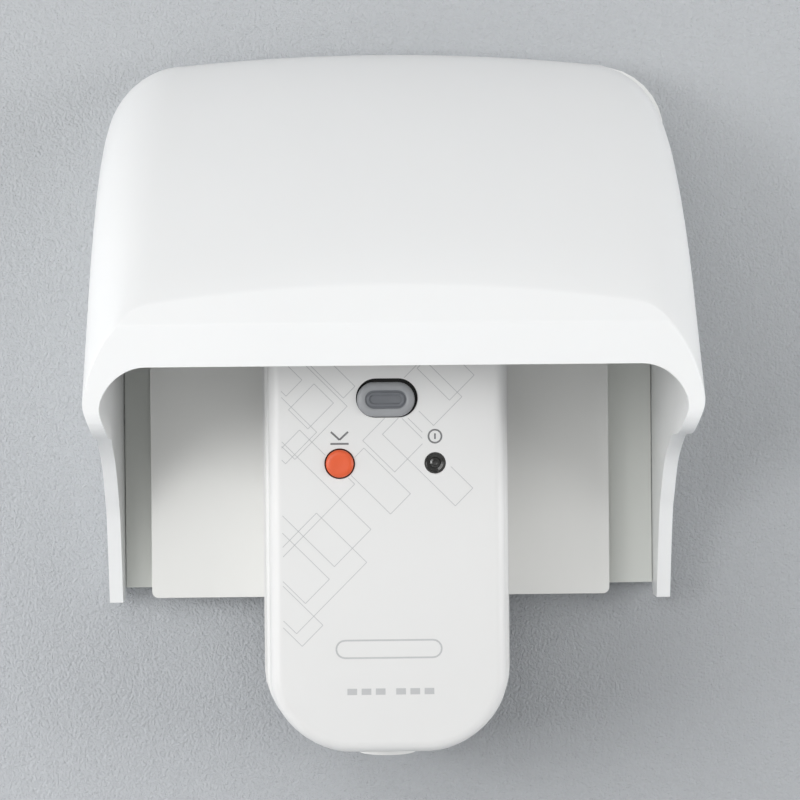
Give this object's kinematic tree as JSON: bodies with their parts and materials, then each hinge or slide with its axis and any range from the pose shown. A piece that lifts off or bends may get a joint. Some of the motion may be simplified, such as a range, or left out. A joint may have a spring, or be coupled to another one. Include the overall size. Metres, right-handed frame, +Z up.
{
  "type": "residual current device",
  "caption": "Slim plug-in residual current device with oval reset and round test buttons, in a square wall socket under a lift-up splash hood.",
  "frame": {"origin": "centre of the square socket panel on the wall plane, midway between the two fixing screws", "axes": "+X to the right seen from the front, +Y into the wall, +Z up; the front faces -Y"},
  "size_m": [0.1058, 0.0805, 0.13],
  "materials": {
    "hood_plastic": "satin",
    "base_plastic": "matte",
    "panel_plastic": "satin",
    "case_plastic": "satin",
    "foam_rubber": "matte",
    "gland_rubber": "matte",
    "grey_button": "satin",
    "orange_button": "satin",
    "smoked_lens": "gloss",
    "red_led": "gloss",
    "nylon": "matte",
    "dark_nylon": "matte",
    "brass": "satin",
    "plated_steel": "satin",
    "spring_steel": "polished",
    "copper": "satin",
    "board_laminate": "satin",
    "capacitor_film": "satin",
    "varistor_coat": "satin",
    "black_epoxy": "matte",
    "ferrite": "matte"
  },
  "bodies": {
    "fixed": {"base_frame": "base_plastic", "socket_cover": "panel_plastic", "safety_shutter": "panel_plastic", "front_shell": "case_plastic", "rear_shell": "case_plastic", "wall_gasket": "foam_rubber", "cable_gland": "gland_rubber", "indicator_lens": "smoked_lens", "indicator_led": "red_led", "socket_housing": "nylon", "coil_bobbin": "nylon", "terminal_block": "nylon", "cable_clamp": "nylon", "live_pin": "brass", "neutral_pin": "brass", "earth_pin": "brass", "earth_strap": "brass", "fixed_contacts": "brass", "test_contact_spring": "brass", "socket_live_contact": "brass", "socket_neutral_contact": "brass", "socket_earth_contact": "brass", "cable_terminals": "brass", "hinge_pins": "plated_steel", "socket_yoke": "plated_steel", "socket_terminal_screws": "plated_steel", "mounting_screws": "plated_steel", "case_screws": "plated_steel", "board_screws": "plated_steel", "cable_terminal_screws": "plated_steel", "clamp_screws": "plated_steel", "coil_yoke": "plated_steel", "shutter_spring": "spring_steel", "carrier_springs": "spring_steel", "reset_spring": "spring_steel", "latch_spring": "spring_steel", "transformer_winding": "copper", "live_busbar": "copper", "neutral_busbar": "copper", "coil_winding": "copper", "circuit_board": "board_laminate", "suppression_capacitor": "capacitor_film", "surge_varistor": "varistor_coat", "rectifier_diodes": "black_epoxy", "leakage_detector_chip": "black_epoxy", "transformer_core": "ferrite"},
    "hood": {"splash_hood": "hood_plastic"},
    "reset": {"reset_button": "grey_button"},
    "carrier": {"contact_carrier": "dark_nylon", "moving_contacts": "brass"},
    "test": {"test_button": "orange_button"},
    "plunger": {"trip_plunger": "plated_steel"},
    "latch": {"latch_lever": "dark_nylon"}
  },
  "joints": [
    {"name": "hood_lift", "type": "hinge", "parent": "fixed", "child": "hood", "pos_m": [0.00175, -0.0072, 0.0528], "axis": [-1, 0, 0], "range_deg": [0, 90]},
    {"name": "reset_press", "type": "slide", "parent": "fixed", "child": "reset", "axis": [0, 1, 0], "range_m": [0, 0.0022], "stiffness_N_per_m": 900, "springref_m": -0.001, "deforming": ["reset_spring"]},
    {"name": "contacts_close", "type": "slide", "parent": "fixed", "child": "carrier", "axis": [0, 1, 0], "range_m": [0, 0.00132], "deforming": ["carrier_springs"]},
    {"name": "test_press", "type": "slide", "parent": "fixed", "child": "test", "axis": [0, 1, 0], "range_m": [0, 0.0012], "stiffness_N_per_m": 600, "springref_m": -0.001, "deforming": ["test_contact_spring"]},
    {"name": "trip_stroke", "type": "slide", "parent": "fixed", "child": "plunger", "axis": [0, 0, 1], "range_m": [0, 0.0016]},
    {"name": "latch_release", "type": "hinge", "parent": "fixed", "child": "latch", "pos_m": [0.0176, -0.0257, -0.011], "axis": [0, 1, 0], "range_deg": [0, 16.1], "deforming": ["latch_spring"]}
  ],
  "couplings": [
    {"joint": "contacts_close", "follows": "reset_press", "ratio": 0.6},
    {"joint": "latch_release", "follows": "trip_stroke", "rad_per_m": 175}
  ]
}
